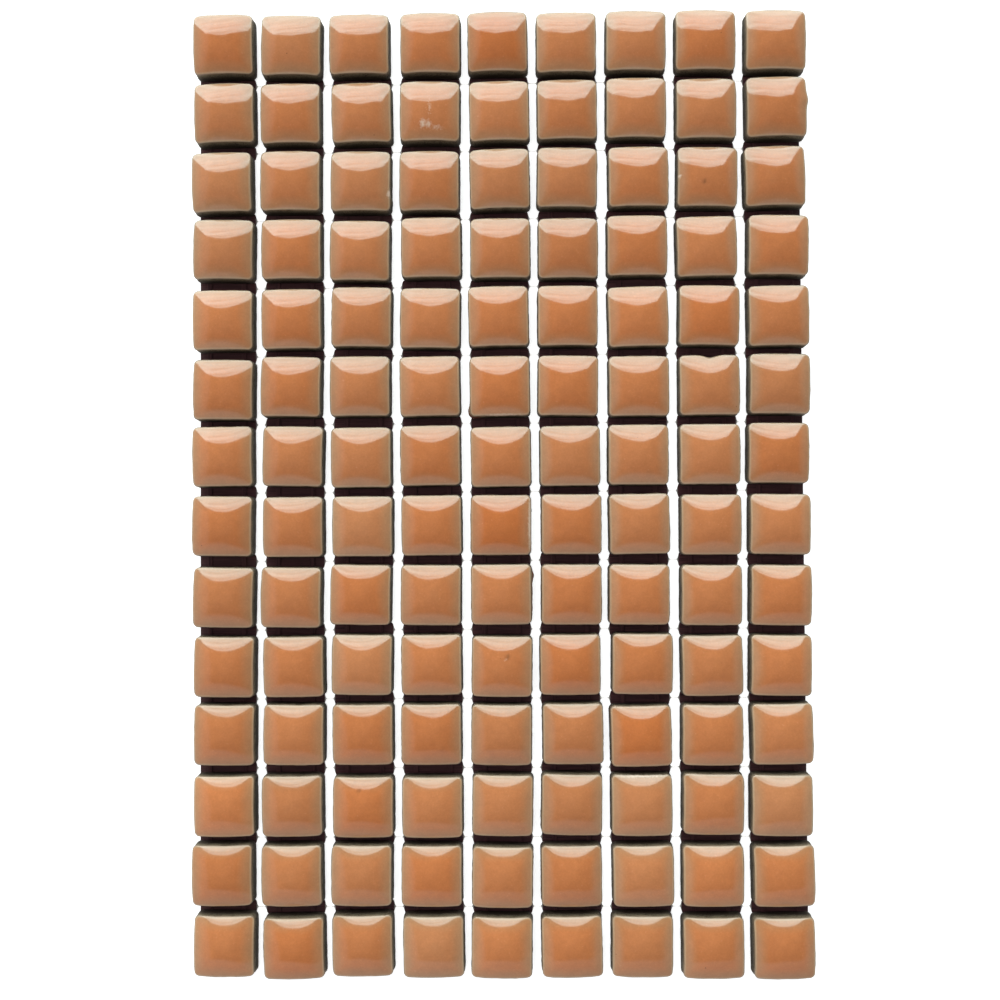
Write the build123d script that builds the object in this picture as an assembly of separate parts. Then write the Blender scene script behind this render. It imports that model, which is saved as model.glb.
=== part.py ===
"""Sheet of small square glazed ceramic tiles, held in rows and columns by a woven net on their backs.

The sheet lies flat with its glazed faces up. X runs across the columns, Y along them and Z up.
The origin is under the middle of the sheet, on the plane that the net rests on. Sizes are in millimetres.
"""
import math
import os
import random

from build123d import *

# One tile: pressed clay, glazed on its crowned face
tile_side = 10.0  # across the back, where the tile is widest
tile_thickness = 4.8  # from the back to the top of the crown
crown_radius = 8.0  # of the arch that the face follows, both ways across the tile
shoulder_flat = 0.5  # along side and crown, where the glaze rolls over the edge
side_draft = 2.5  # degrees that the sides lean inwards, as they leave the press
corner_radius = 0.75  # of the upright corners
corner_flats = 3  # each corner is rounded in this many flats, to keep so many tiles light

# How the tiles are set: by hand in a tray, so no tile is quite in line
columns = 9
rows = 14
joint_width = 1.2  # between the backs of neighbours in line
setting_drift = 0.22  # furthest that a tile is out of its place, along X and along Y
setting_turn = 1.1  # degrees, furthest that a tile is turned
setting_seed = 5  # picks one way for the tiles to lie

# Net: flat glass-fibre yarns, the warp along Y lying on the weft along X
warp_per_column = 2  # under each column of tiles, evenly about its middle
warp_width = 0.8
weft_width = 2.4  # one under each joint between rows, spread flat so that it closes the joint from below
yarn_thickness = 0.2
net_inset = 0.6  # from the outer edge of the tiles to the cut ends of the yarns

pitch = tile_side + joint_width
net_thickness = 2 * yarn_thickness
sheet_width = (columns - 1) * pitch + tile_side
sheet_length = (rows - 1) * pitch + tile_side


def arch_section():
    """Section through the middle of a tile: drafted sides, an arch across the top, flats at its shoulders."""
    half_side = tile_side / 2
    half_top = half_side - tile_thickness * math.tan(math.radians(side_draft))
    block = Polygon(
        (-half_side, 0),
        (half_side, 0),
        (half_top, tile_thickness),
        (-half_top, tile_thickness),
        align=None,
    )
    arched = block & Pos(0, tile_thickness - crown_radius) * Circle(crown_radius)
    shoulders = arched.vertices().sort_by(Axis.Y)[-2:]
    return chamfer(shoulders, shoulder_flat)


def back_outline():
    """Plan of the tile's back: a square whose corners turn in a few flats about their arc."""
    centre = tile_side / 2 - corner_radius
    points = []
    for quarter, (x_sign, y_sign) in enumerate(((1, 1), (-1, 1), (-1, -1), (1, -1))):
        for step in range(corner_flats + 1):
            turn = math.radians(90 * (quarter + step / corner_flats))
            x = x_sign * centre + corner_radius * math.cos(turn)
            y = y_sign * centre + corner_radius * math.sin(turn)
            points.append((x, y))
    return make_face(Polyline(*points, close=True))


def make_tile():
    """One tile, with the middle of its back at the origin: two crossed arches, cut to the outline."""
    section = arch_section()
    arch_across_x = extrude(Plane.XZ * section, tile_side, both=True)
    arch_across_y = extrude(Plane.YZ * section, tile_side, both=True)
    upright = extrude(back_outline(), tile_thickness)
    return (arch_across_x & arch_across_y & upright).solid()


def set_tiles(tile):
    """The tiles in their places on the net, one list for each column, top row first."""
    chance = random.Random(setting_seed)
    laid = []
    for column in range(columns):
        column_tiles = []
        for row in range(rows):
            x = (column - (columns - 1) / 2) * pitch + chance.uniform(-setting_drift, setting_drift)
            y = ((rows - 1) / 2 - row) * pitch + chance.uniform(-setting_drift, setting_drift)
            turn = chance.uniform(-setting_turn, setting_turn)
            column_tiles.append(Pos(x, y, net_thickness) * Rot(0, 0, turn) * tile)
        laid.append(column_tiles)
    return laid


def yarns(yarn, count, step):
    """Copies of one yarn, each a step from the last, evenly about the middle of the sheet."""
    first = -(count - 1) / 2
    return Compound([Pos(step * (first + number)) * yarn for number in range(count)])


tile_columns = set_tiles(make_tile())
every_tile = Compound([tile for column_tiles in tile_columns for tile in column_tiles])
middle = every_tile.bounding_box().center()
centring = Pos(-middle.X, -middle.Y, 0)

parts = {}
for number, column_tiles in enumerate(tile_columns, start=1):
    parts[f"tile_column_{number}"] = Compound([centring * tile for tile in column_tiles])

standing = (Align.CENTER, Align.CENTER, Align.MIN)
weft_yarn = Box(sheet_width - 2 * net_inset, weft_width, yarn_thickness, align=standing)
warp_yarn = Box(warp_width, sheet_length - 2 * net_inset, yarn_thickness, align=standing)
raised_warp_yarn = Pos(0, 0, yarn_thickness) * warp_yarn

row_joints = rows - 1
warp_count = columns * warp_per_column
warp_pitch = pitch / warp_per_column
parts["net_weft"] = yarns(weft_yarn, row_joints, Vector(0, pitch, 0))
parts["net_warp"] = yarns(raised_warp_yarn, warp_count, Vector(warp_pitch, 0, 0))

os.makedirs("parts", exist_ok=True)
for name, shape in parts.items():
    export_step(shape, f"parts/{name}.step")
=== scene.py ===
"""Looks of a sheet of small glazed ceramic mosaic tiles on a glass-fibre net.

Laid out as a Blender add-on and run as a script. Objects are in metres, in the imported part's frame:
X across the columns, Y along them, Z up out of the glazed faces, the net on the plane Z = 0.
"""
import math

import bpy
import numpy as np
from mathutils import Matrix, Vector


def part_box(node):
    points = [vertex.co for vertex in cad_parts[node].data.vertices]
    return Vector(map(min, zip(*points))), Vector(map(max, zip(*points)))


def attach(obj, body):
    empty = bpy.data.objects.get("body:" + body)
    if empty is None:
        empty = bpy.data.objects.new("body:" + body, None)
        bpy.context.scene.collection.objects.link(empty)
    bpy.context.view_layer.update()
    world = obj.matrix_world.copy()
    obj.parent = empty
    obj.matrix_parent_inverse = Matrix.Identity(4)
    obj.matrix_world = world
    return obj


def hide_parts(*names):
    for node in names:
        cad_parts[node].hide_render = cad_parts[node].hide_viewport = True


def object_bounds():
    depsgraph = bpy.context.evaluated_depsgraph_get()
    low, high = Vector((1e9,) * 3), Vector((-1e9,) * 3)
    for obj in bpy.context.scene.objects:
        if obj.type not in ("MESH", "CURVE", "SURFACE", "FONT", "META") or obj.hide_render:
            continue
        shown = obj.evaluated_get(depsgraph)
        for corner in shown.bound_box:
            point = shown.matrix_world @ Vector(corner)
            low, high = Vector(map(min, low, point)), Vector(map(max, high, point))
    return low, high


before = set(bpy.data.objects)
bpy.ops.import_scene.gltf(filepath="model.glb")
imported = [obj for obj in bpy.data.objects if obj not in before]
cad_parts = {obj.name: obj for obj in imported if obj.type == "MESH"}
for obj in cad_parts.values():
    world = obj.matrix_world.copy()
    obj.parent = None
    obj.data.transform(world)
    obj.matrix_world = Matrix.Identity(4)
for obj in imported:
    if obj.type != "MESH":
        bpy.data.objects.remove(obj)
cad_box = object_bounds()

bl_info = {
    "name": "Ceramic Mosaic Tile Sheet",
    "version": (1, 0, 0),
    "blender": (4, 5, 0),
    "location": "3D View > Sidebar > Mosaic",
    "description": "Dresses a packed sheet of mosaic tiles with glaze, clay and net",
    "category": "Object",
}

MM = 0.001
TINY = 1e-9  # keeps divisions and powers off zero

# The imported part
TILE_NODES = sorted(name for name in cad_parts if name.startswith("tile_column_"))
WEFT_NODE = "net_weft"
WARP_NODE = "net_warp"
TILE_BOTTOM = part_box(TILE_NODES[0])[0].z
TILE_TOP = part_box(TILE_NODES[0])[1].z
SAME_LEVEL = 0.002 * MM  # points of the CAD closer than this in height are on one level
DECIMALS = 6  # of a metre, to which points of the CAD are told apart

# Relief of a tile: the glaze rolls over the edge of the crown and bare clay starts below it
ROLL_REACH = 0.09 * MM  # of the rolled edge, outwards
ROLL_DROP = 0.17 * MM  # of the rolled edge, downwards
CROWN_GAP = 0.06 * MM  # from the crown up to the top of the CAD solid, for ripples
LIP_DEPTH = 0.06 * MM  # from_edge where the roll starts; it is 0 where the glaze ends
SIDE_DEPTH = 1.0 * MM  # how far from_edge falls below 0 down the side
UNDERCUT = 0.05 * MM  # of the clay just below the glaze
UNDERCUT_FADE = 4.0  # how soon the undercut ends on the way down
SIDE_GAP = 0.03 * MM  # from the sides out to the CAD solid, for roughness
BACK_GAP = 0.05 * MM  # the same at the edge of the back
BACK_ROUGHNESS = 0.5  # of the edge of the back, as a share of that of the sides
PIT_DEPTH = 0.03 * MM
FULLNESS = (0.96, 1.04)  # least and most height of the crowns in a batch
LEAN_ACROSS = 0.006  # usual slope of a crown that leans to one side
LEAN_ALONG = 0.008

# Ripples: height, shortest and longest wave, number of waves
FACE_RIPPLE = (0.011 * MM, 3 * MM, 9 * MM, 5)  # of the glazed face
LIP_RIPPLE = (0.045 * MM, 1.2 * MM, 5 * MM, 6)  # up and down, of the line where the glaze ends
EDGE_RIPPLE = (0.03 * MM, 1.0 * MM, 6 * MM, 7)  # in and out, of the edge of the tile
CLAY_RIPPLE = (0.035 * MM, 0.8 * MM, 3.5 * MM, 6)  # in and out, of the bare sides
YARN_RIPPLE = (0.02, 4 * MM, 15 * MM, 4)  # of the width of a yarn, as a share of it

# What single tiles show in the photo, by row and column: kind, middle and reach on the face (-1 to 1), and amount,
# which is in millimetres for lumps and swellings and a share for the rest
MARKS = {
    (2, 4): [("scuff", -0.22, -0.5, 0.1, 0.14, 0.9), ("scuff", -0.02, -0.52, 0.08, 0.12, 0.9),
             ("scuff", 0.25, -0.62, 0.2, 0.08, 0.5), ("scuff", 0.02, 0.05, 0.06, 0.3, 0.45)],
    (3, 3): [("bare", 0.99, -0.45, 0.08, 0.12, 1.0), ("lump", 1.0, -0.66, 0.3, 0.12, 0.22)],
    (2, 9): [("swell", 1.0, 0.22, 0.4, 0.2, 0.24)],
    (3, 8): [("pit", -0.15, -0.25, 0.05, 0.07, 0.8), ("bare", -0.95, -0.02, 0.07, 0.05, 1.0)],
    (6, 5): [("lump", -1.0, -0.85, 0.4, 0.2, 0.3), ("drip", -1.0, -0.85, 0.4, 0.24, 1.0),
             ("bare", 0.1, -1.0, 0.6, 0.05, 0.7)],
    (6, 8): [("swell", 0.02, 1.0, 0.24, 0.35, -0.4), ("pit", 0.02, 1.0, 0.1, 0.04, 0.5)],
    (8, 5): [("bare", 1.0, 0.0, 0.07, 0.8, 1.0)],
    (9, 5): [("lump", 1.0, 0.62, 0.4, 0.18, 0.34), ("lump", 1.0, 0.0, 0.4, 0.6, 0.14),
             ("drip", 1.0, 0.1, 0.4, 0.75, 1.0)],
    (10, 5): [("pit", 0.2, 0.36, 0.06, 0.09, 0.7), ("scuff", 0.12, 0.28, 0.06, 0.06, 0.5)],
    (12, 3): [("pit", -0.1, 0.62, 0.05, 0.05, 0.7)],
    (12, 7): [("bare", 0.0, 1.0, 0.9, 0.06, 0.8)],
}
PAINTED_MARKS = ("scuff", "pit", "bare", "drip")
# Shares of the way down a side between which a mark sets in or dies out
LUMP_START = (0.3, 0.5)
LUMP_END = (1.0, 0.85)
SWELL_END = (1.0, 0.5)
# Tiles that came out of the kiln redder, by row and column
REDDER = {(8, 5): 4.5}

# Relief of the yarns
STATIONS = 61  # along a yarn
JOINT_STATIONS = 12  # more of them about each open joint, where the yarn narrows
JOINT_REACH = 1.1 * MM  # of those, to either side of the joint's middle
GATHER_REACH = 0.85 * MM  # to either side of the joint's middle, where a yarn is drawn to a thread
GATHER_POWER = 8  # how suddenly it narrows
BARE_SPREAD = (0.35, 0.05)  # shares of the full width between which the painted shade of the yarn gives way to bare fibre
VALLEY = 0.55  # thickness between two strands, as a share of that at a strand
THICKNESS_SPREAD = (0.93, 1.0)  # least and most thickness along a yarn
FILAMENT = (5 * MM, 0.06 * MM, 1 * MM)  # size of a bundle of filaments along, across and through a yarn

# The softbox beyond the sheet and the dark panel over it: where each side fades, as tangents seen from the sheet
SOFTBOX_TOP = (1.58, 1.48)
SOFTBOX_LEFT = (-1.3, -1.2)
SOFTBOX_RIGHT = (0.74, 0.62)
SOFTBOX_ARCH = 0.3  # how much the top curves down to the sides
SOFTBOX_SLANT = 0.42  # how much the right side leans outwards as it rises
SOFTBOX_NEAREST = 0.1  # least share of a direction that points beyond the sheet
FOLD_SCALE = (0.7, 7.0, 1.0)  # of the folds in its cloth: long from side to side
FOLD_LIGHT = (0.7, 1.25)  # least and most light through a fold
FADE_RISE = (0.8, 1.35)  # over which it grows dimmer
FADE_LIGHT = (1.12, 0.84)
PANEL_LEFT = (-0.7, -1.05)
PANEL_RIGHT = (1.1, 1.7)
PANEL_FRONT = (-0.75, -1.05)
ROOM_SIDES = (0.32, 0.12)  # radiance of the room past the panel, from left to right
ROOM_FRONT = 0.14  # more radiance past the front of the panel
PANEL_RADIANCE = 0.1

# The fill light, the floor and the photo's camera, about the middle of the sheet
FILL_PLACE = (-0.5, 0.15, 1.6)
FILL_SIZE = 2.0
FLOOR_REACH = 6.0
FLOOR_LEVEL = -0.02 * MM  # just clear of the net
EDGE_LEVEL = TILE_TOP - 1.75 * MM  # of the edges of the glazed faces
CAMERA_AIM = (-0.07 * MM, -1.45 * MM)
CAMERA_PLACE = (3.2 * MM, -6.4 * MM)
CAMERA_ROLL = math.radians(-0.33)
SENSOR_WIDTH = 36.0
CLIP_START = 0.01


def linear(hex_colour):
    """An sRGB hex colour as the linear RGBA that Blender's sockets take."""
    channels = [int(hex_colour[place:place + 2], 16) / 255 for place in (1, 3, 5)]
    rgb = [c / 12.92 if c <= 0.04045 else ((c + 0.055) / 1.055) ** 2.4 for c in channels]
    return (*rgb, 1.0)


WHITE = linear("#FFFFFF")


class MosaicTileSettings(bpy.types.PropertyGroup):
    """Shape of one pressed tile and how much the tiles of a batch differ."""

    dome_slope: bpy.props.FloatProperty(
        name="Dome slope", description="Fall of the round dome at the edge, for each unit outwards",
        default=0.61, min=0.0, max=2.0)
    shoulder_slope: bpy.props.FloatProperty(
        name="Shoulder slope", description="Further fall close to the edge, for each unit outwards",
        default=0.06, min=0.0, max=2.0)
    hip: bpy.props.FloatProperty(
        name="Hip", description="How sharply the four sides of the pillow meet along its diagonals; 1 is softest",
        default=1.25, min=1.0, max=6.0)
    corner_dip: bpy.props.FloatProperty(
        name="Corner dip", description="How far the edge falls towards the corners; 0 keeps it level",
        default=0.62, min=0.0, max=1.0, subtype="FACTOR")
    glaze_side: bpy.props.FloatProperty(
        name="Glazed side", description="Width of the tile where the glaze ends",
        default=9.68 * MM, unit="LENGTH", precision=5)
    corner_radius: bpy.props.FloatProperty(
        name="Corner radius", description="Radius of the upright corners",
        default=0.75 * MM, unit="LENGTH", precision=5)
    back_side: bpy.props.FloatProperty(
        name="Back side", description="Width of the tile at its back",
        default=9.96 * MM, unit="LENGTH", precision=5)
    grid: bpy.props.IntProperty(
        name="Grid", description="Faces across the glazed face", default=36, min=8, max=40)
    seed: bpy.props.IntProperty(
        name="Batch", description="Picks one batch of slightly different tiles", default=7)


class MosaicColourSettings(bpy.types.PropertyGroup):
    """Colours of the glaze, the clay and the net."""

    glaze_middle: bpy.props.FloatVectorProperty(
        name="Glaze", description="Where the glaze lies thick", subtype="COLOR", size=4,
        min=0, max=1, default=linear("#C47848"))
    glaze_slope: bpy.props.FloatVectorProperty(
        name="Glaze on the slopes", description="Where the glaze has run thinner", subtype="COLOR", size=4,
        min=0, max=1, default=linear("#B5835C"))
    glaze_rim: bpy.props.FloatVectorProperty(
        name="Glaze rim", description="Where the clay shows through at the edge", subtype="COLOR", size=4,
        min=0, max=1, default=linear("#BC9C7B"))
    # Partly thin glaze over clay, partly painted shade where the lip turns down into the joint
    shaded_glaze_lip: bpy.props.FloatVectorProperty(
        name="Glaze lip", description="Where the glaze ends as it rolls over the edge", subtype="COLOR", size=4,
        min=0, max=1, default=linear("#826A52"))
    pit: bpy.props.FloatVectorProperty(
        name="Pinhole", description="In the pits of the glaze", subtype="COLOR", size=4,
        min=0, max=1, default=linear("#6B4229"))
    scuff: bpy.props.FloatVectorProperty(
        name="Scuff", description="Where the glaze is scuffed or has left the clay bare", subtype="COLOR", size=4,
        min=0, max=1, default=linear("#E3CBB6"))
    drip: bpy.props.FloatVectorProperty(
        name="Run of glaze", description="Thick dark glaze that ran down a side", subtype="COLOR", size=4,
        min=0, max=1, default=linear("#6A2A18"))
    clay: bpy.props.FloatVectorProperty(
        name="Clay", description="Fired body at the unglazed sides", subtype="COLOR", size=4,
        min=0, max=1, default=linear("#93846C"))
    # Painted shade low on the sides, where shade falls between the tiles
    clay_shade: bpy.props.FloatVectorProperty(
        name="Clay stain", description="Low on the sides, where the clay took up the coating of the net",
        subtype="COLOR", size=4, min=0, max=1, default=linear("#2B201A"))
    clay_grain: bpy.props.FloatVectorProperty(
        name="Clay grain", description="Darker grains in the body", subtype="COLOR", size=4,
        min=0, max=1, default=linear("#5F503F"))
    # Painted shade: the net is dark brown so that the joints between the rows look shaded
    yarn: bpy.props.FloatVectorProperty(
        name="Yarn", description="Coated glass fibre", subtype="COLOR", size=4,
        min=0, max=1, default=linear("#4E2E30"))
    yarn_shade: bpy.props.FloatVectorProperty(
        name="Yarn shade", description="Between the filaments", subtype="COLOR", size=4,
        min=0, max=1, default=linear("#221017"))
    # Pale colour of bare fibre where a yarn is drawn to a thread; the painted shade of the net stops there
    bare_fibre: bpy.props.FloatVectorProperty(
        name="Bare fibre", description="Where a yarn is drawn to a thread and holds no coating", subtype="COLOR",
        size=4, min=0, max=1, default=linear("#F4F2EE"))


class MosaicNetSettings(bpy.types.PropertyGroup):
    """Make-up of the yarns of the net."""

    weft_strands: bpy.props.IntProperty(
        name="Weft strands", description="Strands side by side in a weft yarn", default=7, min=1)
    warp_strands: bpy.props.IntProperty(
        name="Warp strands", description="Strands side by side in a warp yarn", default=3, min=1)
    gather: bpy.props.FloatProperty(
        name="Gather", description="Width of a weft yarn where it crosses an open joint, as a share of its full width",
        default=0.02, min=0.02, max=1.0, subtype="FACTOR")
    seed: bpy.props.IntProperty(name="Lay", description="Picks how the strands wander", default=3)


class MosaicStageSettings(bpy.types.PropertyGroup):
    """Camera, lights and floor."""

    camera_height: bpy.props.FloatProperty(
        name="Camera height", description="Above the edges of the glazed faces",
        default=200 * MM, unit="LENGTH")
    camera_lens: bpy.props.FloatProperty(
        name="Lens", description="Focal length on a 36 mm sensor", default=44.83, unit="CAMERA")
    wall_radiance: bpy.props.FloatProperty(
        name="Softbox", description="Radiance of the broad soft light beyond the sheet", default=2.8, min=0)
    softbox_colour: bpy.props.FloatVectorProperty(
        name="Softbox colour", description="Tint of the broad soft light", subtype="COLOR", size=4,
        min=0, max=1, default=linear("#EEFFFB"))
    fill_radiance: bpy.props.FloatProperty(
        name="Fill", description="Radiance of the wide softbox overhead", default=1.54, min=0)
    floor_colour: bpy.props.FloatVectorProperty(
        name="Floor", description="Colour of the plain floor", subtype="COLOR", size=4,
        min=0, max=1, default=linear("#EDEDED"))
    floor_glow: bpy.props.FloatProperty(
        name="Floor white", description="White that the floor adds for the camera and in reflections; 1 is white",
        default=0.72, min=0, max=1, subtype="FACTOR")


def ramp(value, start, end):
    """How far values are on the way from start to end, kept from 0 to 1."""
    return np.clip((value - start) / (end - start), 0, 1)


def ripple(chance, x, y, height, shortest, longest, waves):
    """Gentle seeded undulation over points, from a few plane waves."""
    total = np.zeros_like(x)
    for _ in range(waves):
        wave_length = chance.uniform(shortest, longest)
        heading = chance.uniform(0, 2 * math.pi)
        phase = chance.uniform(0, 2 * math.pi)
        along = x * math.cos(heading) + y * math.sin(heading)
        total += np.cos(along * 2 * math.pi / wave_length + phase)
    return height * total / math.sqrt(waves)


def tile_places(node_name):
    """Middle and turn of every tile in a column of the part, top row first."""
    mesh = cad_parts[node_name].data
    points = np.array([vertex.co for vertex in mesh.vertices])
    tops = points[points[:, 2] > TILE_TOP - SAME_LEVEL]
    middles = np.unique(np.round(tops[:, :2], DECIMALS), axis=0)
    backs = points[points[:, 2] < TILE_BOTTOM + SAME_LEVEL][:, :2]
    nearest = np.linalg.norm(backs[:, None] - middles[None], axis=2).argmin(axis=1)
    places = []
    for number, middle in enumerate(middles):
        corners = (backs[nearest == number] - middle) @ np.array([1, 1j])
        # A square's corners lie at 45 degrees and its quarter turns, which the fourth power folds into one
        turn = np.angle(-(corners ** 4).sum()) / 4
        places.append((middle[0], middle[1], turn))
    return sorted(places, key=lambda place: -place[1])


def square_to_rounded(x, y, radius):
    """Move points of the square from -1 to 1 so that its corners get this radius."""
    reach = np.maximum(np.maximum(np.abs(x), np.abs(y)), TINY)
    minor = np.minimum(np.abs(x), np.abs(y)) / reach
    centre = 1 - radius
    square = 1 + minor ** 2
    inside = np.maximum((centre * (1 + minor)) ** 2 - square * (2 * centre ** 2 - radius ** 2), 0)
    on_arc = (centre * (1 + minor) + np.sqrt(inside)) / square
    share = np.where(minor > centre, on_arc, 1.0)
    return x * share, y * share


class TileGrid:
    """Flat layout of one tile's mesh: a grid for the crown, rings over its edge and down the sides, and a back."""

    roll_rings = 4
    side_rings = 6
    rings = roll_rings + side_rings
    crowding = 0.45  # how much closer the grid lines lie towards the edges, where the face curves most

    def __init__(self, shape):
        self.half = shape.glaze_side / 2
        self.corner = shape.corner_radius
        even = np.linspace(-1, 1, shape.grid + 1)
        stations = (1 - self.crowding) * even + self.crowding * np.sin(even * math.pi / 2)
        across, along = np.meshgrid(stations, stations)
        self.u, self.v = square_to_rounded(across.ravel(), along.ravel(), self.corner / self.half)
        self.rim = self.rim_points(shape.grid)
        self.faces = self.join_points(shape.grid)
        ring = len(self.rim)
        self.glaze_faces = shape.grid ** 2 + self.roll_rings * ring
        self.point_count = len(self.u) + self.rings * ring
        self.inside = self.distance_inside(self.u * self.half, self.v * self.half)
        rim_u = self.u[self.rim]
        rim_v = self.v[self.rim]
        self.rim_out = self.outward(rim_u * self.half, rim_v * self.half)
        # For every point of the mesh: its place on the face, its direction outwards and how far down it lies
        crown = np.zeros(len(self.u))
        self.all_u = np.concatenate([self.u, np.tile(rim_u, self.rings)])
        self.all_v = np.concatenate([self.v, np.tile(rim_v, self.rings)])
        self.out = np.stack([np.concatenate([crown, np.tile(out, self.rings)]) for out in self.rim_out], axis=1)
        self.depth = np.concatenate([crown, np.repeat(np.arange(1, self.rings + 1) / self.rings, ring)])

    def rim_points(self, count):
        """Numbers of the points around the edge of the crown, anticlockwise from its lower left corner."""
        row = count + 1
        step = np.arange(count)
        return np.concatenate([step, count + step * row, count * row + count - step, (count - step) * row])

    def join_points(self, count):
        """Faces of the crown, then of each ring from the rim down, then the back."""
        row = count + 1
        faces = []
        for first in (j * row + i for j in range(count) for i in range(count)):
            faces.append((first, first + 1, first + row + 1, first + row))
        above = self.rim.tolist()
        ring = len(above)
        for number in range(self.rings):
            start = len(self.u) + number * ring
            below = list(range(start, start + ring))
            for here in range(ring):
                after = (here + 1) % ring
                faces.append((above[here], below[here], below[after], above[after]))
            above = below
        faces.append(tuple(reversed(above)))
        return faces

    def outward(self, x, y):
        """Direction straight out from the outline, in plan, at points near it."""
        over_x = np.maximum(np.abs(x) - (self.half - self.corner), 0) * np.sign(x)
        over_y = np.maximum(np.abs(y) - (self.half - self.corner), 0) * np.sign(y)
        length = np.maximum(np.hypot(over_x, over_y), TINY)
        return over_x / length, over_y / length

    def distance_inside(self, x, y):
        """Distance from points of the face in to its outline."""
        over_x = np.abs(x) - (self.half - self.corner)
        over_y = np.abs(y) - (self.half - self.corner)
        beyond = np.hypot(np.maximum(over_x, 0), np.maximum(over_y, 0))
        return self.corner - beyond - np.minimum(np.maximum(over_x, over_y), 0)


def arch(shape, reach):
    """Fall and slope of the crown along one of its middle lines, from 0 in the middle to 1 at the edge."""
    fall = shape.dome_slope * reach ** 2 / 2 + shape.shoulder_slope * reach ** 6 / 6
    slope = shape.dome_slope * reach + shape.shoulder_slope * reach ** 5
    return fall, slope


def pillow(shape, u, v):
    """Depth of the crown, then its fall as a share of that and its slopes across and along, at points from -1 to 1."""
    depth, _ = arch(shape, 1.0)
    fall_u, slope_u = arch(shape, np.abs(u))
    fall_v, slope_v = arch(shape, np.abs(v))
    across = np.maximum(fall_u / depth, TINY)
    along = np.maximum(fall_v / depth, TINY)
    level = 1 - shape.corner_dip
    both = across ** shape.hip + along ** shape.hip - level * (across * along) ** shape.hip
    common = both ** (1 / shape.hip - 1)
    slope_u = slope_u * common * across ** (shape.hip - 1) * (1 - level * along ** shape.hip)
    slope_v = slope_v * common * along ** (shape.hip - 1) * (1 - level * across ** shape.hip)
    return depth, both ** (1 / shape.hip), slope_u, slope_v


def tile_points(layout, shape, chance):
    """Points of one tile about its middle, with how far each lies in from the edge of the glaze."""
    half = layout.half - ROLL_REACH
    depth, fall, slope_u, slope_v = pillow(shape, layout.u, layout.v)
    fullness = chance.uniform(*FULLNESS)
    x = layout.u * half
    y = layout.v * half
    z = TILE_TOP - TILE_BOTTOM - CROWN_GAP - depth * half * fullness * fall
    z += x * chance.normal(0, LEAN_ACROSS) + y * chance.normal(0, LEAN_ALONG)
    z += ripple(chance, x, y, *FACE_RIPPLE)
    rim_x = x[layout.rim]
    rim_y = y[layout.rim]
    out_x, out_y = layout.rim_out
    # Fall of the crown at its edge, straight outwards, so that the glaze rolls over without a crease
    slope = fullness * (slope_u[layout.rim] * np.abs(out_x) + slope_v[layout.rim] * np.abs(out_y))
    wander = ripple(chance, rim_x, rim_y, *LIP_RIPPLE)
    bulge = ripple(chance, rim_x, rim_y, *EDGE_RIPPLE)
    rings = []  # reach out from the rim, height and from_edge of each
    for number in range(1, layout.roll_rings + 1):
        share = number / layout.roll_rings
        turn = share * math.pi / 2
        reach = (ROLL_REACH + bulge) * math.sin(turn)
        drop = slope * reach + (ROLL_DROP + wander) * (1 - math.cos(turn))
        height = z[layout.rim] - drop
        rings.append((reach, height, LIP_DEPTH * (1 - share)))
    glaze_end = height
    flare = (shape.back_side - shape.glaze_side) / 2
    for number in range(1, layout.side_rings + 1):
        share = number / layout.side_rings
        rough = ripple(chance, rim_x, rim_y, *CLAY_RIPPLE)
        reach = ROLL_REACH + bulge * (1 - share) + flare * share
        if number < layout.side_rings:
            reach += rough - UNDERCUT * math.exp(-UNDERCUT_FADE * share) - SIDE_GAP
        else:
            reach += BACK_ROUGHNESS * rough - BACK_GAP
        rings.append((reach, glaze_end * (1 - share), -SIDE_DEPTH * share))
    points = [np.stack([x, y, z], axis=1)]
    from_edge = [layout.inside + LIP_DEPTH]
    for reach, height, edge in rings:
        points.append(np.stack([rim_x + out_x * reach, rim_y + out_y * reach, height], axis=1))
        from_edge.append(np.full(len(rim_x), edge))
    return np.concatenate(points), np.concatenate(from_edge)


def put_marks(layout, tile, marks):
    """Shape a tile by its own marks, and give how much each point shows of the marks that are painted."""
    painted = {kind: np.zeros(layout.point_count) for kind in PAINTED_MARKS}
    for kind, u, v, reach_u, reach_v, amount in marks:
        share = np.exp(-((layout.all_u - u) / reach_u) ** 2 - ((layout.all_v - v) / reach_v) ** 2)
        if kind in painted:
            painted[kind] = np.maximum(painted[kind], amount * share)
        elif kind == "lump":
            # Runs of glaze on the side, below the rim
            side = ramp(layout.depth, *LUMP_START) * ramp(layout.depth, *LUMP_END)
            tile[:, :2] += layout.out * (amount * MM * share * side)[:, None]
        else:
            # The edge of the face and the side below it swell out or draw in together
            axis = 0 if abs(u) > abs(v) else 1
            outwards = np.sign((u, v)[axis])
            tile[:, axis] += outwards * amount * MM * share * ramp(layout.depth, *SWELL_END)
    tile[:, 2] -= painted["pit"] * PIT_DEPTH
    return painted


def make_piece(name, points, faces, materials, face_materials, attributes):
    """A smooth-shaded mesh object with its materials and point attributes."""
    mesh = bpy.data.meshes.new(name)
    mesh.from_pydata(points, [], faces)
    for material in materials:
        mesh.materials.append(material)
    mesh.polygons.foreach_set("material_index", face_materials)
    mesh.polygons.foreach_set("use_smooth", np.ones(len(faces), bool))
    for label, values in attributes.items():
        if np.ndim(values) == 2:
            mesh.attributes.new(label, "FLOAT_VECTOR", "POINT").data.foreach_set("vector", np.ravel(values))
        else:
            mesh.attributes.new(label, "FLOAT", "POINT").data.foreach_set("value", values)
    if mesh.validate(verbose=True):
        raise RuntimeError(f"{name} has faulty faces")
    mesh.update()
    piece = bpy.data.objects.new(name, mesh)
    bpy.context.scene.collection.objects.link(piece)
    return piece


def fresh_tree(owner):
    """The node tree of a new material or world, emptied."""
    owner.use_nodes = True
    owner.node_tree.nodes.clear()
    return owner.node_tree


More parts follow.
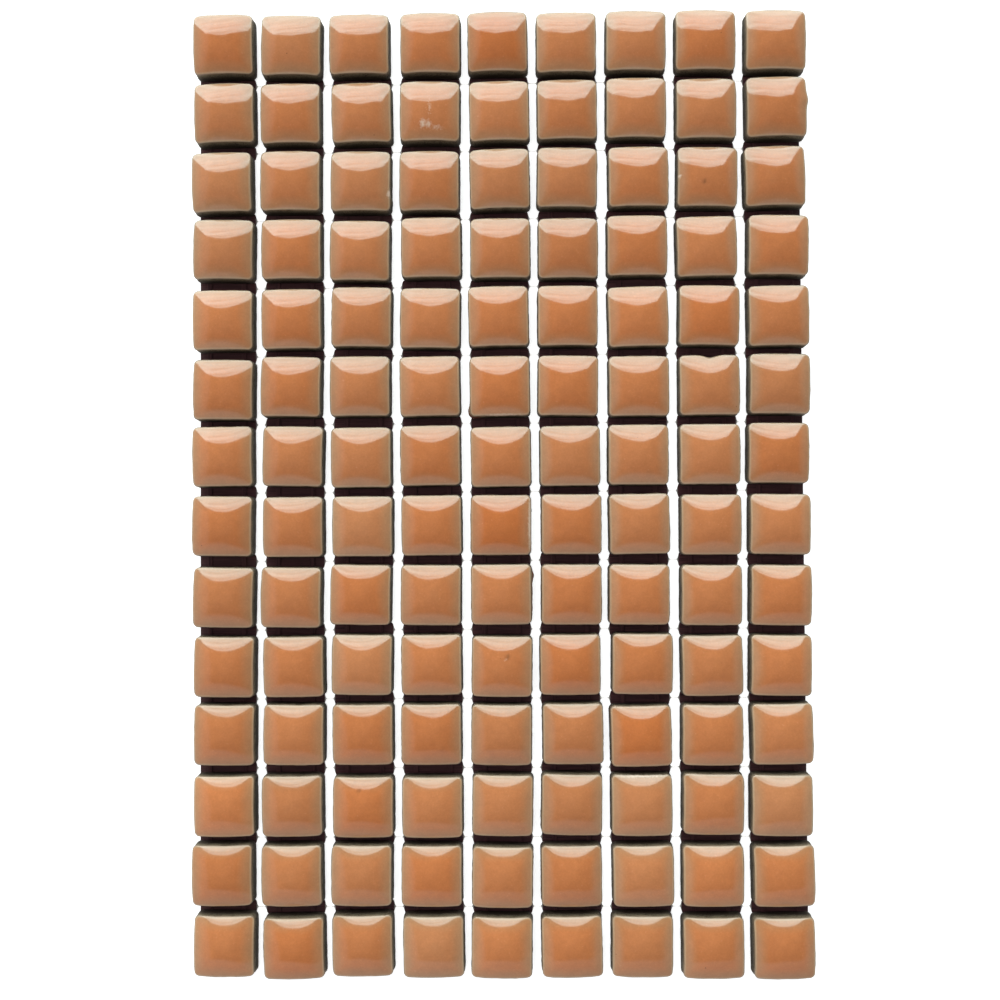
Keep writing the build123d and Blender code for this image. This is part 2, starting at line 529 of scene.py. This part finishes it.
def add_node(tree, kind, inputs=(), **settings):
    """Add a node with these settings to a tree. Each input is a constant or is linked from a (node, output)."""
    node = tree.nodes.new(kind)
    for name, value in settings.items():
        setattr(node, name, value)
    for name, value in dict(inputs).items():
        if isinstance(value, tuple) and isinstance(value[0], bpy.types.Node):
            source, output = value
            tree.links.new(source.outputs[output], node.inputs[name])
        else:
            node.inputs[name].default_value = value
    return node


def maths(tree, operation, *values):
    """Result of a sum on values, as a (node, output)."""
    return add_node(tree, "ShaderNodeMath", dict(enumerate(values)), operation=operation), "Value"


def remap(tree, value, low, high, to_low=0.0, to_high=1.0, smooth=False):
    """A value taken from one range to another and kept inside it, as a (node, output)."""
    inputs = {"Value": value, "From Min": low, "From Max": high, "To Min": to_low, "To Max": to_high}
    kind = "SMOOTHSTEP" if smooth else "LINEAR"
    return add_node(tree, "ShaderNodeMapRange", inputs, interpolation_type=kind), "Result"


def blend(tree, share, first, second):
    """Mix of two colours, as a (node, output)."""
    return add_node(tree, "ShaderNodeMix", {0: share, 6: first, 7: second}, data_type="RGBA"), 2


def attribute(tree, name, output="Fac"):
    """Values that the mesh carries at its points, as a (node, output)."""
    return add_node(tree, "ShaderNodeAttribute", attribute_name=name), output


def noise(tree, place, size, detail, roughness=0.5):
    """Cloudy pattern whose features are this many millimetres wide, as a (node, output)."""
    inputs = {"Vector": place, "Scale": 1 / (size * MM), "Detail": detail, "Roughness": roughness}
    return add_node(tree, "ShaderNodeTexNoise", inputs), "Fac"


def cells(tree, place, size):
    """Pattern of cells this many millimetres apart, as a node."""
    return add_node(tree, "ShaderNodeTexVoronoi", {"Vector": place, "Scale": 1 / (size * MM)})


def gloss_glaze(colours):
    """Transparent orange-tan gloss glaze, dipped and fired: a glassy skin that pools in the middle of the face.

    It gives sharp reflections, a warmer colour where it lies thick and a pale line where it thins at the edge.
    """
    material = bpy.data.materials.new("gloss_glaze")
    tree = fresh_tree(material)
    place = add_node(tree, "ShaderNodeTexCoord"), "Object"
    from_edge = attribute(tree, "from_edge")
    # Pools of thicker glaze, a few to a tile
    pools = noise(tree, place, 3.5, 3.0, roughness=0.55)
    thick = remap(tree, from_edge, 0.0, 2.6 * MM, smooth=True)
    pooled = maths(tree, "MULTIPLY_ADD", pools, 0.5, thick)
    middle = remap(tree, pooled, 0.2, 1.2)
    body = blend(tree, middle, colours.glaze_slope, colours.glaze_middle)
    # It thins towards the edge and ends in a lip, whose darker colour is partly thin glaze over clay and partly
    # painted shade where it turns down into the joint
    rim = remap(tree, from_edge, 0.08 * MM, 0.45 * MM, smooth=True)
    thinned = blend(tree, rim, colours.glaze_rim, body)
    lip = remap(tree, from_edge, 0.03 * MM, 0.15 * MM, smooth=True)
    edged = blend(tree, lip, colours.shaded_glaze_lip, thinned)
    # Specks of the fired glaze: 0.05 mm in life, drawn at 0.3 mm so that they show
    specks = noise(tree, place, 0.3, 2.0)
    speckled = remap(tree, specks, 0.3, 0.7, 0.965, 1.035)
    # Cloudiness of the glaze, about 1.2 mm
    clouds = noise(tree, place, 1.2, 2.0)
    cloudy = remap(tree, clouds, 0.3, 0.7, 0.96, 1.04)
    mottled = maths(tree, "MULTIPLY", cloudy, speckled)
    # Tiles of one batch differ a little in lightness and in warmth
    tone = maths(tree, "MULTIPLY_ADD", attribute(tree, "tone"), 0.025, 1.0)
    light = maths(tree, "MULTIPLY", tone, mottled)
    warmth = attribute(tree, "warmth")
    hue = maths(tree, "MULTIPLY_ADD", warmth, -0.0012, 0.5)
    strength = maths(tree, "MULTIPLY_ADD", warmth, 0.015, 1.0)
    toned = add_node(tree, "ShaderNodeHueSaturation",
                     {"Hue": hue, "Saturation": strength, "Value": light, "Color": edged}), "Color"
    # Pinholes of 0.1 mm, one to a tile or none: dark dots at the middles of a few of the cells, 2 mm apart
    spots = cells(tree, place, 2.0)
    chosen = add_node(tree, "ShaderNodeSeparateColor", {"Color": (spots, "Color")}), "Red"
    few = remap(tree, chosen, 0.94, 0.98)
    dots = remap(tree, (spots, "Distance"), 0.07, 0.03)
    pinholes = maths(tree, "MULTIPLY", few, dots)
    holes = maths(tree, "MAXIMUM", pinholes, attribute(tree, "pit"))
    pitted = blend(tree, holes, toned, colours.pit)
    # Scuffs and bare crusts are broken up by the specks
    worn = maths(tree, "MAXIMUM", attribute(tree, "scuff"), attribute(tree, "bare"))
    ragged = maths(tree, "MULTIPLY_ADD", specks, 0.9, worn)
    shown = remap(tree, ragged, 0.62, 1.3, to_high=0.8)
    marked = blend(tree, shown, pitted, colours.scuff)
    # Orange peel: ripples about 0.8 mm apart that a fired glaze keeps
    peel = noise(tree, place, 0.8, 1.0)
    bump = add_node(tree, "ShaderNodeBump", {"Strength": 0.35, "Distance": 0.008 * MM, "Height": peel}), "Normal"
    # The lip is starved of glaze and dull
    gloss = remap(tree, specks, 0.0, 1.0, 0.05, 0.14)
    starved = remap(tree, from_edge, 0.03 * MM, 0.16 * MM, 0.5, 0.0)
    dulled = maths(tree, "ADD", gloss, starved)
    skin = add_node(tree, "ShaderNodeBsdfPrincipled",
                    {"IOR": 1.7, "Specular IOR Level": 0.72, "Base Color": marked, "Roughness": dulled,
                     "Normal": bump})
    add_node(tree, "ShaderNodeOutputMaterial", {"Surface": (skin, "BSDF")})
    return material


def pressed_clay(colours):
    """Stoneware body, pressed dry and fired: sand-coloured with dark grains, matt and pitted at the sides."""
    material = bpy.data.materials.new("pressed_clay")
    tree = fresh_tree(material)
    place = add_node(tree, "ShaderNodeTexCoord"), "Object"
    # Grains of grog, about 0.25 mm, and smears of the press, about 1.5 mm
    grains = cells(tree, place, 0.25), "Distance"
    smears = noise(tree, place, 1.5, 4.0)
    share = maths(tree, "MULTIPLY", grains, smears)
    speckle = remap(tree, share, 0.05, 0.45)
    body = blend(tree, speckle, colours.clay, colours.clay_grain)
    bump = add_node(tree, "ShaderNodeBump", {"Strength": 0.8, "Distance": 0.05 * MM, "Height": share}), "Normal"
    # Painted shade: the sides turn dark towards the back, where shade falls between the tiles
    height = maths(tree, "MULTIPLY_ADD", smears, 0.3 * MM, attribute(tree, "from_edge"))
    low_shade = remap(tree, height, 0.05 * MM, -0.5 * MM, to_high=0.85, smooth=True)
    shaded_low = blend(tree, low_shade, body, colours.clay_shade)
    runs = remap(tree, attribute(tree, "drip"), 0.25, 0.5)
    coated = blend(tree, runs, shaded_low, colours.drip)
    rough = remap(tree, smears, 0.0, 1.0, 0.75, 0.95)
    surface = add_node(tree, "ShaderNodeBsdfPrincipled",
                       {"IOR": 1.5, "Base Color": coated, "Roughness": rough, "Normal": bump})
    add_node(tree, "ShaderNodeOutputMaterial", {"Surface": (surface, "BSDF")})
    return material


def glass_fibre_painted_shade(colours):
    """Glass-fibre roving, woven: dark brown as painted shade in the joints between the rows, with fine lines along the
    filaments.

    Where it is drawn to a thread it keeps the pale colour of bare fibre, without the painted shade, and is clear.
    """
    material = bpy.data.materials.new("glass_fibre_painted_shade")
    tree = fresh_tree(material)
    # Filaments are 0.01 mm in life; bundles of them are drawn 0.06 mm across and 5 mm along
    grain = attribute(tree, "grain", "Vector")
    lines = add_node(tree, "ShaderNodeTexNoise", {"Vector": grain, "Scale": 1.0, "Detail": 2.0}), "Fac"
    shade = remap(tree, lines, 0.3, 0.6)
    # Painted shade: the net is dark brown so that the joints between the rows look shaded
    body = blend(tree, shade, colours.yarn_shade, colours.yarn)
    thread = attribute(tree, "thread")
    shade_or_bare = blend(tree, thread, body, colours.bare_fibre)
    bump = add_node(tree, "ShaderNodeBump", {"Strength": 0.6, "Distance": 0.02 * MM, "Height": lines}), "Normal"
    surface = add_node(tree, "ShaderNodeBsdfPrincipled",
                       {"IOR": 1.5, "Roughness": 0.7, "Base Color": shade_or_bare, "Transmission Weight": thread,
                        "Normal": bump})
    add_node(tree, "ShaderNodeOutputMaterial", {"Surface": (surface, "BSDF")})
    return material


class MOSAIC_OT_tiles(bpy.types.Operator):
    """Build the glazed tiles, one piece for each column"""

    bl_idname = "mosaic.tiles"
    bl_label = "Glazed Tiles"

    def execute(self, context):
        shape = context.scene.mosaic_tiles
        colours = context.scene.mosaic_colours
        layout = TileGrid(shape)
        chance = np.random.RandomState(shape.seed)
        materials = [gloss_glaze(colours), pressed_clay(colours)]
        for column, node_name in enumerate(TILE_NODES, start=1):
            self.build(node_name, column, layout, shape, materials, chance)
        return {"FINISHED"}

    def build(self, node_name, column, layout, shape, materials, chance):
        """One piece with all the tiles of a column."""
        points = []
        faces = []
        looks = []
        for row, (x, y, turn) in enumerate(tile_places(node_name), start=1):
            tile, from_edge = tile_points(layout, shape, chance)
            shown = put_marks(layout, tile, MARKS.get((row, column), ()))
            spin = np.array([[math.cos(turn), math.sin(turn)], [-math.sin(turn), math.cos(turn)]])
            tile[:, :2] = tile[:, :2] @ spin + (x, y)
            tile[:, 2] += TILE_BOTTOM
            start = len(points) * layout.point_count
            faces += [tuple(start + corner for corner in face) for face in layout.faces]
            points.append(np.clip(tile, *cad_box))
            shown["from_edge"] = from_edge
            shown["tone"] = np.full(len(tile), chance.normal(0, 1))
            shown["warmth"] = np.full(len(tile), chance.normal(0, 1) + REDDER.get((row, column), 0))
            looks.append(shown)
        attributes = {label: np.concatenate([shown[label] for shown in looks]) for label in looks[0]}
        face_materials = np.ones(len(layout.faces), int)
        face_materials[:layout.glaze_faces] = 0
        name = node_name.replace("tile_column", "glazed_tiles")
        piece = make_piece(name, np.concatenate(points), faces, materials,
                           np.tile(face_materials, len(points)), attributes)
        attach(piece, "root")
        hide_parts(node_name)


def yarn_places(node_name, axis):
    """Middles of the yarns of a net node, along the axis that they are spread over, and their width."""
    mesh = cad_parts[node_name].data
    edges = np.unique(np.round([vertex.co[axis] for vertex in mesh.vertices], DECIMALS))
    return edges.reshape(-1, 2).mean(axis=1), edges[1] - edges[0]


def yarn_points(along, width, thickness, strands, spread, chance):
    """Points, faces and grain of one yarn along its own X: a flat band of strands side by side."""
    across = np.linspace(-1, 1, 2 * strands + 1)
    ridge = np.where(np.arange(2 * strands + 1) % 2 == 1, 1.0, VALLEY)
    section = np.concatenate([across, across[::-1]])
    heights = np.concatenate([ridge, -ridge[::-1]]) * thickness / 2
    wander = ripple(chance, along, np.zeros_like(along), *YARN_RIPPLE)
    offset = (section[None, :] * (1 + wander[:, None])) * spread[:, None]
    points = np.empty((len(along), len(section), 3))
    points[:, :, 0] = along[:, None]
    points[:, :, 1] = np.clip(offset, -1, 1) * width / 2
    points[:, :, 2] = heights * chance.uniform(*THICKNESS_SPREAD, len(along))[:, None]
    grain = points / FILAMENT
    faces = []
    count = len(section)
    for station in range(len(along) - 1):
        ring = station * count
        for side in range(count):
            after = (side + 1) % count
            faces.append((ring + side, ring + after, ring + after + count, ring + side + count))
    last = (len(along) - 1) * count
    for side in range(2 * strands):
        opposite = count - 1 - side
        faces.append((side, opposite, opposite - 1, side + 1))
        faces.append((last + side, last + side + 1, last + opposite - 1, last + opposite))
    return points.reshape(-1, 3), faces, grain.reshape(-1, 3)


class MOSAIC_OT_net(bpy.types.Operator):
    """Build the yarns of the net: weft across the sheet, warp along it"""

    bl_idname = "mosaic.net"
    bl_label = "Glass-Fibre Net"

    def execute(self, context):
        settings = context.scene.mosaic_net
        material = glass_fibre_painted_shade(context.scene.mosaic_colours)
        chance = np.random.RandomState(settings.seed)
        middles = sorted(np.mean([place[0] for place in tile_places(name)]) for name in TILE_NODES)
        joints = [(left + right) / 2 for left, right in zip(middles, middles[1:])]
        self.build(WEFT_NODE, 1, "weft_yarns", settings.weft_strands, joints, settings.gather, material, chance)
        self.build(WARP_NODE, 0, "warp_yarns", settings.warp_strands, [], 1.0, material, chance)
        return {"FINISHED"}

    def build(self, node_name, axis, name, strands, joints, gather, material, chance):
        """One piece with all the yarns of a node, drawn together where they cross open joints."""
        low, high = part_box(node_name)
        places, width = yarn_places(node_name, axis)
        along = np.linspace(low[1 - axis], high[1 - axis], STATIONS)
        near = np.linspace(-JOINT_REACH, JOINT_REACH, JOINT_STATIONS)
        along = np.unique(np.concatenate([along, *(joint + near for joint in joints)]))
        spread = np.ones(len(along))
        for joint in joints:
            spread -= (1 - gather) * np.exp(-((along - joint) / GATHER_REACH) ** GATHER_POWER)
        points = []
        faces = []
        grain = []
        for place in places:
            yarn, yarn_faces, yarn_grain = yarn_points(along, width, high.z - low.z, strands, spread, chance)
            start = len(points) * len(yarn)
            faces += [tuple(start + corner for corner in face) for face in yarn_faces]
            if axis == 0:
                yarn = yarn[:, [1, 0, 2]] * (-1, 1, 1)
            yarn[:, axis] += place
            yarn[:, 2] += (low.z + high.z) / 2
            points.append(yarn)
            # No two yarns show the same filaments
            grain.append(yarn_grain + (place / FILAMENT[0], 0, place / FILAMENT[2]))
        points_in_section = 2 * (2 * strands + 1)
        attributes = {
            "grain": np.concatenate(grain),
            "thread": np.tile(np.repeat(ramp(spread, *BARE_SPREAD), points_in_section), len(places)),
        }
        piece = make_piece(name, np.concatenate(points), faces, [material], np.zeros(len(faces), int), attributes)
        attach(piece, "root")
        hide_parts(node_name)


def softbox_light(tree, axes, radiance):
    """Where the softbox shows beyond the top of the sheet, as a share, and its brightness there.

    It reaches up to 57 degrees and 51 degrees to the left, as seen from the sheet. Its top is arched and its
    right side slants outwards as it rises.
    """
    rise = maths(tree, "DIVIDE", (axes, "Z"), (axes, "Y"))
    swing = maths(tree, "DIVIDE", (axes, "X"), (axes, "Y"))
    bow = maths(tree, "MULTIPLY", swing, swing)
    arched = maths(tree, "MULTIPLY_ADD", bow, SOFTBOX_ARCH, rise)
    slanted = maths(tree, "MULTIPLY_ADD", rise, -SOFTBOX_SLANT, swing)
    upper = remap(tree, arched, *SOFTBOX_TOP, smooth=True)
    left = remap(tree, swing, *SOFTBOX_LEFT, smooth=True)
    right = remap(tree, slanted, *SOFTBOX_RIGHT, smooth=True)
    ahead = maths(tree, "GREATER_THAN", (axes, "Y"), SOFTBOX_NEAREST)
    between = maths(tree, "MULTIPLY", left, right)
    framed = maths(tree, "MULTIPLY", between, upper)
    lit = maths(tree, "MULTIPLY", framed, ahead)
    # Its cloth hangs in soft level folds and is brightest low down
    spot = add_node(tree, "ShaderNodeCombineXYZ", {"X": swing, "Y": rise}), "Vector"
    drape = add_node(tree, "ShaderNodeMapping", {"Vector": spot, "Scale": FOLD_SCALE}), "Vector"
    folds = add_node(tree, "ShaderNodeTexNoise", {"Vector": drape, "Scale": 1.0, "Detail": 2.0}), "Fac"
    folded = remap(tree, folds, 0.35, 0.65, *(share * radiance for share in FOLD_LIGHT))
    fade = remap(tree, rise, *FADE_RISE, *FADE_LIGHT, smooth=True)
    return lit, maths(tree, "MULTIPLY", folded, fade)


def room_light(tree, axes):
    """Brightness of the room: a dark panel overhead keeps the glaze deep in colour, and the room shows past it."""
    over_x = maths(tree, "DIVIDE", (axes, "X"), (axes, "Z"))
    over_y = maths(tree, "DIVIDE", (axes, "Y"), (axes, "Z"))
    left = remap(tree, over_x, *PANEL_LEFT, smooth=True)
    right = remap(tree, over_x, *PANEL_RIGHT, smooth=True)
    front = remap(tree, over_y, *PANEL_FRONT, smooth=True)
    beside = maths(tree, "MAXIMUM", left, right)
    past = maths(tree, "MAXIMUM", beside, front)
    sides = remap(tree, (axes, "X"), -1.0, 1.0, *ROOM_SIDES)
    ahead = maths(tree, "MULTIPLY_ADD", front, ROOM_FRONT, PANEL_RADIANCE)
    return maths(tree, "MULTIPLY_ADD", past, sides, ahead)


class MOSAIC_OT_stage(bpy.types.Operator):
    """Set the floor, the lights, the surroundings and the camera"""

    bl_idname = "mosaic.stage"
    bl_label = "Stage"

    def execute(self, context):
        settings = context.scene.mosaic_stage
        self.floor(context.scene, settings)
        self.fill(context.scene, settings)
        self.surroundings(context.scene, settings)
        self.camera(context.scene, settings)
        context.scene.view_settings.view_transform = "Standard"
        return {"FINISHED"}

    def floor(self, scene, settings):
        """Plain pale floor that looks white to the camera and keeps the shadow of the sheet."""
        mesh = bpy.data.meshes.new("floor")
        corners = [(x * FLOOR_REACH, y * FLOOR_REACH, 0) for x, y in ((-1, -1), (1, -1), (1, 1), (-1, 1))]
        mesh.from_pydata(corners, [], [(0, 1, 2, 3)])
        material = bpy.data.materials.new("floor")
        tree = fresh_tree(material)
        # It adds white only to the rays that show it to the eye: from the camera, in gloss and through glass
        path = add_node(tree, "ShaderNodeLightPath")
        seen = maths(tree, "MAXIMUM", (path, "Is Camera Ray"), (path, "Is Glossy Ray"))
        seen = maths(tree, "MAXIMUM", seen, (path, "Is Transmission Ray"))
        glow = maths(tree, "MULTIPLY", seen, settings.floor_glow)
        surface = add_node(tree, "ShaderNodeBsdfPrincipled",
                           {"Base Color": settings.floor_colour, "Roughness": 1.0, "Specular IOR Level": 0.0,
                            "Emission Color": WHITE, "Emission Strength": glow})
        add_node(tree, "ShaderNodeOutputMaterial", {"Surface": (surface, "BSDF")})
        mesh.materials.append(material)
        floor = bpy.data.objects.new("floor", mesh)
        floor.location.z = FLOOR_LEVEL
        scene.collection.objects.link(floor)

    def fill(self, scene, settings):
        """A wide round softbox overhead, kept out of the mirror of the glaze."""
        lamp = bpy.data.lights.new("fill", "AREA")
        lamp.shape = "ELLIPSE"
        lamp.size = FILL_SIZE
        lamp.size_y = FILL_SIZE
        area = math.pi / 4 * FILL_SIZE ** 2
        lamp.energy = settings.fill_radiance * math.pi * area
        light = bpy.data.objects.new("fill", lamp)
        light.location = FILL_PLACE
        light.rotation_euler = (-Vector(FILL_PLACE)).to_track_quat("-Z", "Y").to_euler()
        light.visible_camera = False
        light.visible_glossy = False
        scene.collection.objects.link(light)

    def surroundings(self, scene, settings):
        """A dim pale room with one broad softbox beyond the top of the sheet, white where the camera sees it."""
        world = bpy.data.worlds.new("room")
        scene.world = world
        tree = fresh_tree(world)
        place = add_node(tree, "ShaderNodeTexCoord"), "Generated"
        axes = add_node(tree, "ShaderNodeSeparateXYZ", {"Vector": place})
        lit, glow = softbox_light(tree, axes, settings.wall_radiance)
        both = maths(tree, "MULTIPLY_ADD", lit, glow, room_light(tree, axes))
        path = add_node(tree, "ShaderNodeLightPath")
        shown = maths(tree, "MAXIMUM", both, (path, "Is Camera Ray"))
        # Daylight behind the softbox is a little cooler than the room
        tint = blend(tree, lit, WHITE, settings.softbox_colour)
        surface = add_node(tree, "ShaderNodeBackground", {"Color": tint, "Strength": shown})
        add_node(tree, "ShaderNodeOutputWorld", {"Surface": (surface, "Background")})

    def camera(self, scene, settings):
        """Almost straight above the sheet, a little right of and below its middle."""
        aim = Vector((*CAMERA_AIM, EDGE_LEVEL))
        place = Vector((*CAMERA_PLACE, EDGE_LEVEL + settings.camera_height))
        camera = bpy.data.objects.new("camera", bpy.data.cameras.new("camera"))
        camera.data.lens = settings.camera_lens
        camera.data.sensor_width = SENSOR_WIDTH
        camera.data.clip_start = CLIP_START
        backward = (place - aim).normalized()
        rightward = Vector((0, 1, 0)).cross(backward).normalized()
        upward = backward.cross(rightward)
        facing = Matrix((rightward, upward, backward)).transposed().to_4x4()
        camera.matrix_world = Matrix.Translation(place) @ facing @ Matrix.Rotation(CAMERA_ROLL, 4, "Z")
        scene.collection.objects.link(camera)
        scene.camera = camera


class MOSAIC_PT_panel(bpy.types.Panel):
    """Lists the parts of the sheet and what can be changed"""

    bl_idname = "MOSAIC_PT_panel"
    bl_label = "Mosaic Sheet"
    bl_space_type = "VIEW_3D"
    bl_region_type = "UI"
    bl_category = "Mosaic"

    def draw(self, context):
        for operator, groups in OPERATORS.items():
            box = self.layout.box()
            box.operator(operator.bl_idname)
            for group in groups:
                settings = getattr(context.scene, group)
                for name in settings.__annotations__:
                    box.prop(settings, name)


GROUPS = {
    "mosaic_tiles": MosaicTileSettings,
    "mosaic_colours": MosaicColourSettings,
    "mosaic_net": MosaicNetSettings,
    "mosaic_stage": MosaicStageSettings,
}
# Each operator with the groups that the panel shows below it
OPERATORS = {
    MOSAIC_OT_tiles: ("mosaic_tiles", "mosaic_colours"),
    MOSAIC_OT_net: ("mosaic_net",),
    MOSAIC_OT_stage: ("mosaic_stage",),
}
CLASSES = (*GROUPS.values(), *OPERATORS, MOSAIC_PT_panel)


def register():
    for cls in CLASSES:
        bpy.utils.register_class(cls)
    for name, group in GROUPS.items():
        setattr(bpy.types.Scene, name, bpy.props.PointerProperty(type=group))


def unregister():
    for name in GROUPS:
        delattr(bpy.types.Scene, name)
    for cls in reversed(CLASSES):
        bpy.utils.unregister_class(cls)


def main():
    register()
    bpy.ops.mosaic.tiles()
    bpy.ops.mosaic.net()
    bpy.ops.mosaic.stage()


if __name__ == "__main__":
    main()
